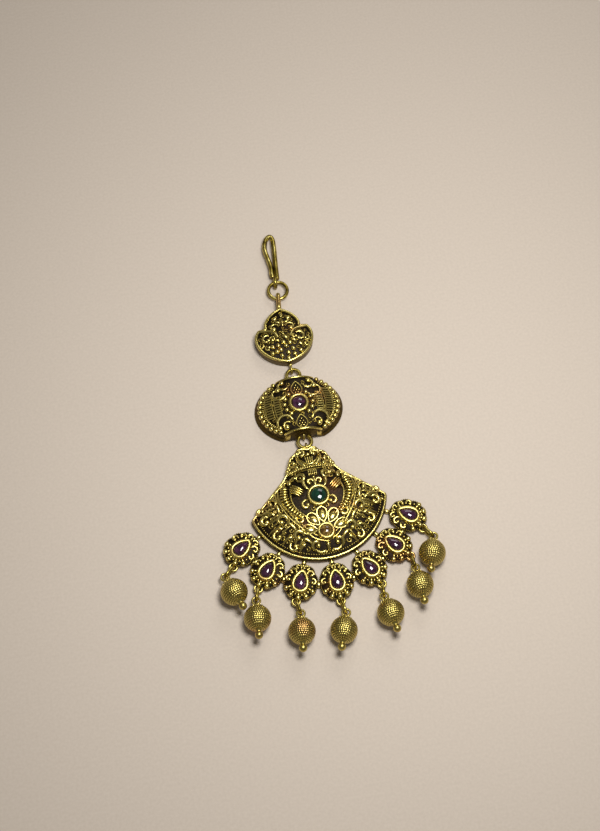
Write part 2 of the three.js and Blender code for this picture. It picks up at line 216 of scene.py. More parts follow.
def moved(part, matrix):
    points, faces, relief = part
    turn = np.array(matrix.to_3x3())
    return points @ turn.T + np.array(matrix.translation), faces, relief


wallPaintedShade = 0.3  # side walls get a fixed mid-dark tone on the brass ramp: painted shade on the walls


def ridden(part, ground, full=0.6):
    # height above the ground surface, 0 to 1 over the given rise; it sets the brass colour, dark patina with painted
    # shade low down and a painted highlight high up
    points, faces, relief = part
    over = (points[:, 2] - ground(points[:, 0], points[:, 1])) / full
    return points, faces, np.where(over < -0.3, wallPaintedShade, np.clip(over, 0, 1))


def addPiece(name, parts, place, material, nodes, sharp=55):
    points, faces, relief, first = [], [], [], 0
    for part in parts:
        points.append(part[0])
        faces.extend(tuple(i + first for i in face) for face in part[1])
        relief.append(part[2])
        first += len(part[0])
    mesh = bpy.data.meshes.new(name)
    mesh.from_pydata(np.concatenate(points).tolist(), [], faces)
    mesh.attributes.new("relief", "FLOAT", "POINT").data.foreach_set("value", np.concatenate(relief))
    mesh.transform(place)
    mesh.shade_smooth()
    mesh.set_sharp_from_angle(angle=math.radians(sharp))
    mesh.materials.append(material)
    piece = bpy.data.objects.new(name, mesh)
    bpy.context.scene.collection.objects.link(piece)
    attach(piece, "root")
    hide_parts(*nodes)
    return piece


def isVert(item):
    return isinstance(item, bmesh.types.BMVert)


def loft(outline, rows, closeTop=True, closeFoot=True):
    # rings from one outline: each row is a function that moves a point of the last ring
    bm = bmesh.new()
    bmesh.ops.create_circle(bm, segments=len(outline), radius=1)
    for vert, (x, y) in zip(list(bm.verts), outline):
        vert.co = (x, y, 0)
    first = list(bm.verts)
    edges = list(bm.edges)
    for place in rows[:1]:
        for vert in first:
            vert.co = place(vert.co)
    ring = first
    for place in rows[1:]:
        made = bmesh.ops.extrude_edge_only(bm, edges=edges)["geom"]
        ring = [item for item in made if isVert(item)]
        fresh = set(ring)
        edges = [e for e in made if isinstance(e, bmesh.types.BMEdge) and fresh.issuperset(e.verts)]
        for vert in ring:
            vert.co = place(vert.co)
    for close, verts in ((closeFoot, first), (closeTop, ring)):
        if close:
            middle = sum((v.co for v in verts), Vector()) / len(verts)
            bmesh.ops.pointmerge(bm, verts=verts, merge_co=middle)
    if not closeTop and not closeFoot:
        bmesh.ops.remove_doubles(bm, verts=list(bm.verts), dist=1e-4)
    bmesh.ops.recalc_face_normals(bm, faces=list(bm.faces))
    return bm


def lathe(profile, steps, relief=1.0):
    # a profile of (radius, height) about Z, its ends on the axis
    bm = bmesh.new()
    verts = [bm.verts.new((r, 0, z)) for r, z in profile]
    edges = [bm.edges.new(pair) for pair in zip(verts, verts[1:])]
    bmesh.ops.spin(bm, geom=verts + edges, axis=(0, 0, 1), cent=(0, 0, 0), angle=2 * math.pi, steps=steps,
                   use_merge=True)
    bmesh.ops.remove_doubles(bm, verts=list(bm.verts), dist=1e-4)
    bmesh.ops.recalc_face_normals(bm, faces=list(bm.faces))
    return arraysOf(bm, relief)


def torus(radius, wire, steps=48, sides=14):
    bm = bmesh.new()
    spot = Matrix.Translation((radius, 0, 0)) @ Matrix.Rotation(math.pi / 2, 4, "X")
    made = bmesh.ops.create_circle(bm, segments=sides, radius=wire / 2, matrix=spot)
    geom = made["verts"] + list(bm.edges)
    bmesh.ops.spin(bm, geom=geom, axis=(0, 0, 1), cent=(0, 0, 0), angle=2 * math.pi, steps=steps,
                   use_merge=True)
    bmesh.ops.remove_doubles(bm, verts=list(bm.verts), dist=1e-4)
    bmesh.ops.recalc_face_normals(bm, faces=list(bm.faces))
    return arraysOf(bm, 0.8)


standing = Matrix.Rotation(math.pi / 2, 4, "Y")


def standingEye(x, y, radius=1.1, wire=0.7):
    return moved(torus(radius, wire, 32, 10), Matrix.Translation((x, y, linkHeight)) @ standing)


def wires(rows, resolution=2):
    # every row a path of points, a thickness or one for each point, and whether it closes
    curve = bpy.data.curves.new("wires", "CURVE")
    curve.dimensions = "3D"
    curve.bevel_depth = 1
    curve.bevel_resolution = resolution
    curve.use_fill_caps = True
    for path, thick, closed in rows:
        spline = curve.splines.new("POLY")
        spline.points.add(len(path) - 1)
        spline.use_cyclic_u = closed
        spline.points.foreach_set("co", np.column_stack([path, np.ones(len(path))]).ravel())
        spline.points.foreach_set("radius", np.broadcast_to(np.asarray(thick) / 2, len(path)).astype(float))
    holder = bpy.data.objects.new("wires", curve)
    mesh = bpy.data.meshes.new_from_object(holder)
    bm = bmesh.new()
    bm.from_mesh(mesh)
    bmesh.ops.remove_doubles(bm, verts=list(bm.verts), dist=1e-5)
    bmesh.ops.recalc_face_normals(bm, faces=list(bm.faces))
    bpy.data.objects.remove(holder)
    bpy.data.curves.remove(curve)
    bpy.data.meshes.remove(mesh)
    return arraysOf(bm, 0.8)


def ballTemplate():
    bm = bmesh.new()
    bmesh.ops.create_icosphere(bm, subdivisions=2, radius=1)
    points, faces, _ = arraysOf(bm)
    return points, np.array(faces)


ballPoints, ballFaces = ballTemplate()


def balls(rows):
    # one joined mesh of rounded grains: x, y, z, half length, half width, half height, turn in degrees
    table = np.array(rows, float)
    turn = np.radians(table[:, 6])
    size = ballPoints[None] * table[:, None, 3:6]
    x = size[..., 0] * np.cos(turn)[:, None] - size[..., 1] * np.sin(turn)[:, None]
    y = size[..., 0] * np.sin(turn)[:, None] + size[..., 1] * np.cos(turn)[:, None]
    points = np.stack([x, y, size[..., 2]], 2) + table[:, None, :3]
    faces = ballFaces[None] + len(ballPoints) * np.arange(len(table))[:, None, None]
    flat = points.reshape(-1, 3)
    return flat, [tuple(face) for face in faces.reshape(-1, 3).tolist()], np.ones(len(flat))


# Outlines, in mm about each part's own middle

def bezier(*points, count=24):
    t = np.linspace(0, 1, count)[:, None]
    n = len(points) - 1
    terms = [math.comb(n, i) * (1 - t) ** (n - i) * t**i * np.array(p, float) for i, p in enumerate(points)]
    return sum(terms)


def arc(radiusX, radiusY, start, end, centre=(0, 0), count=40):
    a = np.radians(np.linspace(start, end, count))
    return np.column_stack([centre[0] + radiusX * np.cos(a), centre[1] + radiusY * np.sin(a)])


def mirrored(half):
    # a right half from the foot to the tip, and its left half back
    return np.concatenate([half, (half * (-1, 1))[::-1][1:-1]])


def even(points, count, closed=True):
    # the same line with points at even steps
    loop = np.concatenate([points, points[:1]]) if closed else np.asarray(points)
    along = np.concatenate([[0], np.cumsum(np.linalg.norm(np.diff(loop, axis=0), axis=1))])
    marks = np.linspace(0, along[-1], count, endpoint=not closed)
    return np.column_stack([np.interp(marks, along, loop[:, axis]) for axis in range(loop.shape[1])])


def through(points, count=24):
    # a smooth line through a few given points
    p = np.array(points, float)
    p = np.concatenate([[2 * p[0] - p[1]], p, [2 * p[-1] - p[-2]]])
    out = []
    spans = len(p) - 3
    for t in np.linspace(0, spans - 1e-6, count):
        i = int(t)
        u = t - i
        a, b, c, d = p[i : i + 4]
        out.append(0.5 * (2 * b + (c - a) * u + (2 * a - 5 * b + 4 * c - d) * u**2
                          + (3 * b - a - 3 * c + d) * u**3))
    return np.array(out)


def grown(outline, by):
    # every point moved outwards across the line
    ahead = np.roll(outline, -1, 0) - np.roll(outline, 1, 0)
    across = np.column_stack([ahead[:, 1], -ahead[:, 0]])
    across /= np.linalg.norm(across, axis=1)[:, None]
    area = np.sum(outline[:, 0] * np.roll(outline[:, 1], -1) - outline[:, 1] * np.roll(outline[:, 0], -1))
    return outline + across * by * np.sign(area)


def shareOf(outline):
    # how far out a point is: 0 in the middle, 1 on the outline
    angle = np.arctan2(outline[:, 1], outline[:, 0])
    order = np.argsort(angle)
    reach = np.linalg.norm(outline, axis=1)[order]

    def share(x, y):
        return np.hypot(x, y) / np.interp(np.arctan2(y, x), angle[order], reach, period=2 * math.pi)

    return share


def plate(outline, height, lean=0.0, wall=1.1, rings=40, rim=0.25):
    # a hollow-backed casting: its rounded rim, side wall, foot, back and face in one closed skin
    def scaled(share, drop=0.0):
        def place(co):
            spot = Vector((co.x, co.y))
            reach = outer(spot) * share
            spot = spot.normalized() * reach
            return Vector((spot.x, spot.y, float(height(spot.x, spot.y)) - drop))
        return place

    def side(out, z):
        def place(co):
            spot = Vector((co.x, co.y))
            spot = spot.normalized() * (outer(spot) + out)
            return Vector((spot.x, spot.y, z(spot)))
        return place

    angle = np.arctan2(outline[:, 1], outline[:, 0])
    order = np.argsort(angle)
    reaches = np.linalg.norm(outline, axis=1)[order]

    def outer(spot):
        return float(np.interp(math.atan2(spot.y, spot.x), angle[order], reaches, period=2 * math.pi))

    def edge(spot):
        rimSpot = spot.normalized() * outer(spot)
        return float(height(rimSpot.x, rimSpot.y))

    back = [scaled(s * 0.95, wall) for s in np.linspace(0.03, 1, 8)]
    foot = [side(-wall, lambda spot: 0), side(0, lambda spot: 0)]
    foot.append(side(0.0, lambda spot: 0.15))
    wallRows = [side(lean * edgeShare, lambda spot, k=k: edge(spot) * k)
                for edgeShare, k in ((0.9, 0.3), (0.5, 0.6), (0.15, 0.85))]
    top = [side(-rim * 0.3, lambda spot: edge(spot) - 0.05)]
    face = [scaled(s) for s in np.linspace(0.975, 0.02, rings)]
    return arraysOf(loft(outline, back + foot + wallRows + top + face))


# Ornament, laid on a ground surface

def layOn(path, ground, wire, sink=0.15):
    path = np.asarray(path, float)
    z = ground(path[:, 0], path[:, 1]) + np.asarray(wire) * (0.5 - sink)
    return np.column_stack([path, z])


bold = 1.35  # how much heavier the casting's wires are than their drawn lines


def scrollWires(rows, ground, mirror=False):
    # scrolls: arcs that open or close towards a ball at their end
    lines, ends = [], []
    for cx, cy, startReach, endReach, start, end, wire, ball in rows:
        wire, ball = wire * bold, ball * bold
        count = max(8, int(abs(end - start) / 11))
        t = np.linspace(0, 1, count)
        a = np.radians(start + (end - start) * t)
        reach = startReach + (endReach - startReach) * t**1.3
        path = np.column_stack([cx + reach * np.cos(a), cy + reach * np.sin(a)])
        thick = wire * (0.55 + 0.45 * np.sin(math.pi * np.clip(t * 1.1, 0, 1)) ** 0.6)
        for side in ((1, -1) if mirror else (1,)):
            turned = path * (side, 1)
            lines.append((layOn(turned, ground, thick), thick, False))
            if ball:
                ends.append((*turned[-1], ball, ball, ball * 0.85, 0))
    return lines, ends


def stemWires(rows, ground, mirror=False):
    # stems: a bowed stroke from one place to another, thick to thin
    lines = []
    for x0, y0, x1, y1, bow, wire, wireEnd in rows:
        wire, wireEnd = wire * bold, wireEnd * bold
        t = np.linspace(0, 1, 12)
        across = np.array([y0 - y1, x1 - x0]) / max(math.hypot(x1 - x0, y1 - y0), 1e-6)
        path = np.column_stack([x0 + (x1 - x0) * t, y0 + (y1 - y0) * t])
        path = path + across * (4 * bow * t * (1 - t))[:, None]
        thick = (wire + (wireEnd - wire) * t) * (0.6 + 0.4 * np.sin(math.pi * t) ** 0.5)
        for side in ((1, -1) if mirror else (1,)):
            lines.append((layOn(path * (side, 1), ground, thick), thick, False))
    return lines


def grainsOn(rows, ground, lift=0.35):
    # grains of x, y, half length, half width, half height and turn, sunk a little into the ground
    return [(x, y, float(ground(x, y)) + high * lift, long, wide, high, turn)
            for x, y, long, wide, high, turn in rows]


def beadLine(path, ground, size, pitch):
    # round grains along a path
    length = np.linalg.norm(np.diff(path, axis=0), axis=1).sum()
    spots = even(path, max(3, int(length / pitch)), closed=False)
    return [(x, y, size / 2, size / 2, size / 2, 0) for x, y in spots]


def petal(angle, start, end, width, centre):
    # a closed teardrop pointing away from a centre
    t = np.linspace(0, 2 * math.pi, 36, endpoint=False)
    along = start + (end - start) * (1 - np.cos(t)) / 2
    across = width / 2 * np.sin(t) * np.sin(np.clip((1 - np.cos(t)) / 2, 0, 1) * math.pi / 2) ** 0.5
    a = math.radians(angle)
    x = centre[0] + along * math.cos(a) - across * math.sin(a)
    y = centre[1] + along * math.sin(a) + across * math.cos(a)
    return np.column_stack([x, y])


def curlField(share, reach, pitch, size, seed, clear=(), limit=0.86):
    # small curls that fill the ground between the larger scrolls, each turned its own way
    dice = np.random.default_rng(seed)
    rows = []
    steps = int(reach / pitch) + 1
    for j in range(-steps, steps + 1):
        for i in range(-steps, steps + 1):
            x, y = (i + 0.5 * (j % 2)) * pitch, j * pitch * 0.87
            x, y = x + dice.uniform(-0.15, 0.15) * pitch, y + dice.uniform(-0.15, 0.15) * pitch
            start, way, wide = dice.uniform(0, 360), dice.choice([-1, 1]), dice.uniform(0.85, 1.15)
            free = all(math.hypot(x - cx, y - cy) > r for cx, cy, r in clear)
            if share(x, y) < limit and free:
                rows.append((x, y, size * wide, size * 0.35, start, start + way * 300, size * 0.5, size * 0.4))
    return rows


def scrollSpots(rows, mirror=False):
    # the ground that scrolls take up
    return [(side * x, y, reach * 0.75) for x, y, reach, *_ in rows for side in ((1, -1) if mirror else (1,))]


def bezelParts(outline, wall, foot, top):
    # a rub-over collar: up the outside, over a rounded lip and down to the seat
    def at(by, z):
        ring = grown(outline, by)
        return ring, z

    rows = [at(wall + 0.35, foot), at(wall + 0.3, top - 0.75), at(wall + 0.12, top - 0.6), at(wall + 0.1, top - 0.2),
            at(wall - 0.08, top), at(0.3, top + 0.02), at(0.1, top - 0.15), at(0.1, foot), ]
    placers = [ringPlacer(ring, z) for ring, z in rows + rows[:1]]
    return arraysOf(loft(outline, placers, False, False), 0.8)


def ringPlacer(ring, z):
    # puts the next ring's points on the given outline, one after another
    points = iter([(x, y, z) for x, y in ring])

    def place(co):
        return Vector(next(points))

    return place


def cabochon(outline, seat, girdle, crown):
    middle = outline.mean(0)
    rows = [ringPlacer(middle + (outline - middle) * s, seat) for s in (0.4, 1)]
    for t in np.linspace(0, 1, 12)[:-1]:
        s = math.cos(t * math.pi / 2)
        z = girdle + (crown - girdle) * math.sin(t * math.pi / 2)
        rows.append(ringPlacer(middle + (outline - middle) * s, z))
    return arraysOf(loft(outline, rows), 1)


# Hook

hookSize = {"wire": 1.5, "eye": 1.4, "half": 0.75, "bow": 1.35, "length": 16.6}


def makeHook():
    half, bow, length = hookSize["half"], hookSize["bow"], hookSize["length"]
    top = length - half
    line = [(half, 1.12), (half, length * 0.4), (half + 0.1, length * 0.72), (half - 0.1, top - 0.6),
            (-half * 0.4, top + half * 0.6), (-half - bow * 0.6, top - 0.9), (-half - bow, length * 0.72),
            (-half - bow * 0.45, length * 0.5), (-half - 0.02, length * 0.32), (-half, length * 0.17), (-half * 0.7, length * 0.1)]
    path = through(line, 90)
    ends = np.clip(np.minimum(np.arange(90), 89 - np.arange(90)) / 3, 0, 1)
    thick = hookSize["wire"] * (0.6 + 0.4 * ends**0.5)
    thick[0:4] = hookSize["wire"]
    legs = wires([(np.column_stack([path, np.full(90, linkHeight)]), thick, False)], 4)
    loop = moved(torus(hookSize["eye"], hookSize["wire"] * 0.8, 40, 14), Matrix.Translation((0, 0, linkHeight)) @ standing)
    addPiece("hair_hook", [legs, loop], places["hook"], wireBrass, ["hook"])


# Rings

def makeRings():
    for node, radius in (("hook_ring", 2.9), ("lotus_ring", 2), ("medallion_ring", 2)):
        low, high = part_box(node)
        spot = Matrix.Translation((low + high) / 2) @ Matrix.Scale(mm, 4)
        addPiece("jump_" + node, [torus(radius, 1.1)], spot, wireBrass, [node])


# Lotus

lotus = {"halfWidth": 8.8, "foot": -8.4, "tip": 9.8, "rim": 2.9, "crown": 4.4, "wire": 0.95}


def lotusOutline():
    w, foot, tip = lotus["halfWidth"], lotus["foot"], lotus["tip"]
    half = np.concatenate([
        bezier((0, foot), (w * 0.5, foot * 0.93), (w * 0.98, foot * 0.55), (w, -0.4)),
        bezier((w, -0.4), (w * 1.01, 1.6), (w * 0.86, 3)),
        bezier((w * 0.59, 3.3), (w * 0.68, 5.4), (w * 0.4, tip * 0.84), (0, tip)),
    ])
    return mirrored(half)


# scroll columns: centre x, y, reach at the start and end, angle at the start and end, wire, ball
lotusScrolls = [
    (-1.1, 5.9, 1.3, 0.9, -60, -190, 0.6, 0.6),
    (1.2, 5.9, 1.3, 0.9, 240, 370, 0.6, 0.6),
    (-2.6, 2.9, 1.5, 0.5, 10, 260, 0.55, 0.6),
    (2.4, 2.9, 1.5, 0.5, 170, -80, 0.55, 0.6),
    (-5.4, -0.4, 1.3, 0.7, 50, 320, 0.65, 0.5),
    (-3.6, -0.6, 0.8, 0.4, 180, -90, 0.5, 0.45),
    (4.7, -0.6, 1.5, 0.8, 130, -120, 0.65, 0.5),
    (3.2, -0.4, 0.7, 0.4, 90, 330, 0.5, 0.4),
    (-7.0, -2.2, 0.8, 0.4, 100, 350, 0.5, 0.4),
    (-5.4, -3.2, 0.8, 0.4, 100, 380, 0.5, 0.45),
    (6.8, -1.4, 0.8, 0.4, 90, -180, 0.5, 0.4),
    (6.4, -3.2, 0.8, 0.4, 90, -180, 0.5, 0.45),
]
# stem columns: from x, y, to x, y, bow, thick at the start and end
lotusStems = [
    (0.1, 3.2, 0.1, 5.3, 0, 0.6, 0.7), (0.1, 6.4, 0.1, 8.6, 0, 0.8, 0.5), (-1.3, 7.2, -2.6, 6.6, 0.3, 0.5, 0.5),
    (1.3, 7.2, 2.6, 6.6, -0.3, 0.5, 0.5), (2.2, -1.4, 3.4, -2.6, 0.2, 0.8, 0.6), (4.1, -2.9, 5.2, -4, 0.2, 0.8, 0.6),
    (-0.6, -0.3, 0.9, -1.2, 0.2, 0.7, 0.8), (-2.9, -1.2, -1.7, -1.9, 0.2, 0.8, 0.6), (-0.2, 1.6, -0.2, 0.2, 0, 0.6, 0.5),
]
lotusGrains = [(-3.9, -3.3), (-1.6, -4.5), (0.1, -3.5), (2.1, -4.5), (0.5, -5.6), (2.4, -6.2), (-4.2, -5.2),
               (-1.5, -6.3), (0.4, -7.3), (4.4, -5.2), (-2.8, -4.9), (-0.5, -2.3), (-2.2, -3.1), (1.4, -2.6)]


def makeLotus():
    outline = even(lotusOutline(), 220)
    share = shareOf(outline)

    def ground(x, y):
        return lotus["rim"] + (lotus["crown"] - lotus["rim"]) * (1 - np.minimum(share(x, y), 1) ** 2)

    w, tip, wire = lotus["halfWidth"], lotus["tip"], lotus["wire"]
    rimLines = [
        bezier((w * 0.56, 3.3), (w * 0.66, 5.3), (w * 0.39, tip * 0.82), (0, tip * 0.97)),
        even(lotusOutline()[:52] * 0.965, 60, closed=False),
        through([(w * 0.84, 2.8), (4.3, 2.2), (2.7, 1.1), (1.9, -0.6)]),
    ]
    lines = [(layOn(line * (side, 1), ground, wire), wire, False) for line in rimLines for side in (1, -1)]
    clear = [(x, y, 1.2) for x, y in lotusGrains] + scrollSpots(lotusScrolls)
    curls = curlField(share, 9, 1.5, 0.6, 3, clear)
    scrolls, ends = scrollWires(lotusScrolls + curls, ground)
    lines += scrolls + stemWires(lotusStems, ground)
    rows = [(x, y, 0.9, 0.72, 0.75, -50) for x, y in lotusGrains] + ends
    grain = balls(grainsOn(rows, ground))
    shell = plate(outline, ground)
    bail = wires([(bailPath(), 1.38, True)], 4)
    lean = Matrix.Translation((0, tip - 0.1, linkHeight)) @ Matrix.Rotation(math.radians(-5), 4, "Z")
    foot = lotus["foot"]
    stub = balls([(0.6, foot - 0.55, linkHeight, 0.9, 0.5, 0.75, 90)])
    parts = [ridden(part, ground) for part in (shell, wires(lines), grain)]
    parts += [moved(bail, lean), stub, standingEye(0.6, foot - 2.2)]
    addPiece("lotus_plate", parts, places["lotus"], castBrass, ["lotus"])


def longRing(reach, height, wire, count=48):
    # a long ring on edge, from the middle of the wire at the origin to the same at y = reach
    bend = (height - wire) / 2
    a = np.radians(np.linspace(0, 180, count // 2))
    far = np.column_stack([0 * a, reach - bend + bend * np.sin(a), bend * np.cos(a)])
    near = np.column_stack([0 * a, bend - bend * np.sin(a), -bend * np.cos(a)])
    return np.concatenate([far, near])


def bailPath():
    return longRing(5.4, 3.8, 1.2)


# Medallion

medallion = {"halfWidth": 12.3, "halfHeight": 9.66, "end": 8.6, "side": 1.6, "crown": 6, "lean": 1.1}
medallionScrolls = [
    (-4.0, 6.6, 1.9, 0.6, -15, -270, 0.6, 0.6),
    (-5.7, 4.3, 2.6, 0.8, -10, -280, 0.6, 0.6),
    (3.9, 6.4, 1.9, 0.6, 190, 450, 0.6, 0.6),
    (5.3, 4.4, 2.8, 0.8, 190, 450, 0.6, 0.65),
    (-5.2, -5.7, 2.7, 1.7, 15, 215, 0.75, 0.6),
    (-4.5, -6.6, 1.4, 0.4, 40, 260, 0.55, 0.7),
    (6.0, -5.5, 2.7, 1.7, 175, -40, 0.75, 0.5),
    (5.0, -6.5, 1.4, 0.4, 150, -80, 0.55, 0.65),
]
ribBands = [(-9.1, 3.9, -3.9, 1.9), (-6.4, 2.9, -3.2, 1.5), (9.1, 3.9, -3.9, 1.9), (6.4, 2.9, -2.9, 1.5)]


def makeMedallion():
    a, b, end = medallion["halfWidth"], medallion["halfHeight"], medallion["end"]
    start = math.degrees(math.asin(end / b))
    corner = a * math.cos(math.radians(start))
    outline = np.concatenate([
        arc(a, b, -start, start), np.column_stack([np.linspace(corner, -corner, 22)[1:-1], np.full(20, end)]),
        arc(a, b, 180 - start, 180 + start), np.column_stack([np.linspace(-corner, corner, 22)[1:-1], np.full(20, -end)]),
    ])
    outline = even(outline, 240)
    share = shareOf(outline)

    def ground(x, y):
        reach = a * np.sqrt(np.maximum(1 - (y / b) ** 2, 0.05))
        arch = np.maximum(1 - np.abs(x / reach) ** 2.1, 0) ** 0.62
        return medallion["side"] + (medallion["crown"] - medallion["side"]) * arch

    rings = [(4.2 * math.cos(t), 3.9 * math.sin(t), 0.75, 0.75, 0.7, 0)
             for t in np.radians([0, 26, 52, 128, 154, 180, 206, 232, 308, 334])]
    clear = [(0, 0, 3.4), (0, 4.85, 2.2), (0, -5.9, 2.2)] + [(x, y, 1) for x, y, *_ in rings]
    clear += scrollSpots(medallionScrolls) + [(x, y, 0.7) for x, y0, y1, _ in ribBands for y in np.arange(y0, y1, -0.8)]
    curls = curlField(share, 12, 1.45, 0.62, 5, clear, 0.82)
    scrolls, ends = scrollWires(medallionScrolls + curls, ground)
    lines = list(scrolls)
    leaves = []
    for cy in (4.85, -5.9):
        leaf = pear(3.3, 4.3) + (0, cy)
        lines.append((layOn(leaf, ground, 0.55), 0.55, True))
        seeds = [(0, 0.75), (-0.45, 0), (0.45, 0), (-0.8, -0.75), (0, -0.7), (0.8, -0.75), (-0.4, -1.4), (0.4, -1.4)]
        leaves += [(x, cy + y, 0.4, 0.3, 0.5, 60) for x, y in seeds]
    for up in (1, -1):
        rail = np.column_stack([np.linspace(-corner * 0.98, corner * 0.98, 40), np.full(40, up * (end - 0.25))])
        lines.append((layOn(rail, ground, 0.75), 0.75, False))
    for x, y0, y1, width in ribBands:
        for y in np.arange(y0, y1, -0.78):
            bar = [(x * (1 - 0.004 * y * y) + width * step, y) for step in (-0.5, -0.25, 0, 0.25, 0.5)]
            lines.append((layOn(bar, ground, 0.95), 0.55, False))
    edge = [(x * 0.95, y * 0.95, 0.8, 0.78, 0.72, math.degrees(math.atan2(y, x)))
            for side in (0, 180) for x, y in even(arc(a, b, side - 56, side + 56), 13, closed=False)]
    flutes = [(x * 0.87, y * 0.87, 0.7, 0.25, 0.3, math.degrees(math.atan2(y, x)))
              for side in (0, 180) for x, y in even(arc(a, b, side - 50, side + 50), 26, closed=False)]
    for x, y0, y1, width in ribBands:
        for side in (-1, 1):
            rail = [(x * (1 - 0.004 * y * y) + side * (width / 2 + 0.15), y) for y in np.linspace(y0 + 0.3, y1 - 0.3, 16)]
            lines.append((layOn(rail, ground, 0.9), 0.35, False))
    grain = balls(grainsOn(leaves + rings + edge + flutes + ends, ground))
    shell = plate(outline, ground, medallion["lean"], rings=46)
    round_ = arc(2, 2, 0, 360, count=49)[:-1]
    collar = bezelParts(round_, 0.9, 5.2, 7.0)
    parts = [ridden(part, ground) for part in (shell, wires(lines), grain)] + [collar]
    parts += [standingEye(0, up * 8.87) for up in (1, -1)]
    addPiece("domed_medallion", parts, places["medallion"], castBrass, ["medallion"])
    stone = cabochon(round_, 5.95, 6.35, 7.3)
    addPiece("medallion_cabochon", [stone], places["medallion"], violetGlass, ["medallion_stone"])


# Pendant

fan = {"radius": 20.8, "corner": 13.6, "shoulder": 8.8, "shoulderY": 5.3, "neck": 5.2, "tip": 14,
       "rim": 1.7, "crown": 6.4}
stonesAt = {"centre": (0.2, -2.5), "flower": (0.2, -12.95)}
fanScrolls = [
    (1.9, 11.7, 1.5, 0.5, -20, 250, 0.85, 0.5),
    (5.0, 9.4, 1.1, 0.4, -80, 180, 0.75, 0.5),
    (6.4, 7.9, 0.8, 0.3, -120, 150, 0.65, 0.45),
    (1.35, 1.9, 1.0, 0.4, 200, -60, 0.65, 0.45),
    (3.8, 4.0, 1.15, 1.1, 0, 350, 0.75, 0),
    (7.6, 3.4, 1.4, 0.45, -60, 200, 0.8, 0.5),
    (3.8, -4.7, 1.4, 0.45, 110, -170, 0.8, 0.5),
    (6.3, -8.3, 1.5, 0.45, 60, -220, 0.85, 0.55),
    (11.7, -7.4, 1.7, 0.5, 200, -80, 0.95, 0.6),
    (7.9, -12.8, 1.6, 0.5, 190, -90, 0.95, 0.6),
    (3.2, -16.4, 1.5, 0.4, -60, 200, 0.9, 0.55),
    (13.6, -1.2, 1.5, 0.45, 220, -60, 0.85, 0.5),
    (16.2, -6.4, 1.5, 0.45, 120, -150, 0.9, 0.55),
    (9.6, -15.4, 1.4, 0.4, 60, -200, 0.85, 0.5),
    (16.9, -2.8, 1.3, 0.4, -90, 190, 0.8, 0.5),
    (13.6, -11.4, 1.5, 0.45, 100, -160, 0.85, 0.5),
]
fanStems = [
    (1.6, 7.4, 3.3, 11.2, -0.5, 1.0, 0.9),
    (3.8, 7.6, 5.6, 8.4, 0.3, 0.8, 0.6),
    (0, -0.1, 0, 3.1, 0, 0.7, 0.8),
    (10.4, -8.4, 8.2, -12.4, -0.7, 1.0, 0.5),
    (6.8, -13.8, 4.0, -17.2, -0.6, 1.0, 0.5),
    (1.0, -18.2, 3.8, -17.4, -0.7, 0.9, 0.6),
    (0, -16.2, 0, -18.8, 0, 1.1, 0.6),
    (12.6, -2.4, 12.3, -6.0, -0.5, 0.9, 0.5),
    (9.0, 3.6, 12.6, 0.4, 0.6, 0.8, 0.5),
    (5.0, 4.4, 6.6, 4.2, 0.3, 1.0, 0.6),
    (3.0, 2.9, 2.2, -0.2, 0.6, 0.9, 0.6),
    (13.4, -5.2, 17.6, -4.2, 0.6, 0.9, 0.4),
    (12.0, -9.6, 16.0, -10.2, 0.6, 0.9, 0.4),
    (9.8, -12.6, 13.0, -14.4, 0.6, 0.9, 0.4),
    (6.4, -15.4, 8.6, -17.8, 0.5, 0.9, 0.4),
]
tailSpots = [(9.0, 1.9), (9.5, -1.6), (8.3, -5.0), (5.6, -8.0)]  # down the middle of a bird's tail
settingRows = [  # angle round the fan from straight down, and how the stone, eye, ring and drop lie
    {"at": -63, "stone": 59, "eye": -36, "ring": -44, "drop": 21},
    {"at": -42.3, "stone": 43, "eye": -39, "ring": -18, "drop": -4},
    {"at": -21.4, "stone": 23, "eye": -25, "ring": 10, "drop": -6},
    {"at": 0, "stone": 0, "eye": 0, "ring": 11, "drop": -17},
    {"at": 21.4, "stone": -29, "eye": 25, "ring": -2, "drop": 9},
    {"at": 42.3, "stone": -42, "eye": 43, "ring": 8, "drop": 2},
    {"at": 63, "stone": -54, "eye": 36, "ring": 37, "drop": -16},
]
setting = {"orbit": 27.6, "halfWidth": 4.8, "halfLength": 5.5, "lobeDepth": 0.35, "edge": 2, "crown": 3.1,
           "eyeLean": 5.75, "eyeHeight": 1.7}
drop = {"reach": 4.1, "height": 3.4, "wire": 0.8, "radius": 3.9, "eyeReach": 5.5, "tipReach": 5.2,
        "tipRadius": 1.2, "neck": 0.75, "droop": 12}


def outwards(angle, reach):
    a = math.radians(angle)
    return Vector((math.sin(a), -math.cos(a))) * reach


def fanOutline():
    r, shoulder, y, neck, tip = (fan[key] for key in ("radius", "shoulder", "shoulderY", "neck", "tip"))
    half = np.concatenate([
        arc(r, r, -90, -fan["corner"], count=90),
        [(shoulder, y), (shoulder - 1.5, y + 1.9), (neck + 0.9, tip - 4), (neck - 0.1, tip - 2),
         (neck * 0.7, tip - 1.4), (neck * 0.5, tip - 0.1), (neck * 0.24, tip), (neck * 0.14, tip - 0.6)],
    ])
    return mirrored(half)


def pear(width, length):
    half, low = width / 2, -length / 2 + width / 2
    return np.concatenate([
        bezier((0, length / 2), (-half * 0.55, length * 0.3), (-half, length * 0.12), (-half, low), count=16)[:-1],
        arc(half, half, 180, 360, (0, low), 22)[:-1],
        bezier((half, low), (half, length * 0.12), (half * 0.55, length * 0.3), (0, length / 2), count=16)[:-1],
    ])


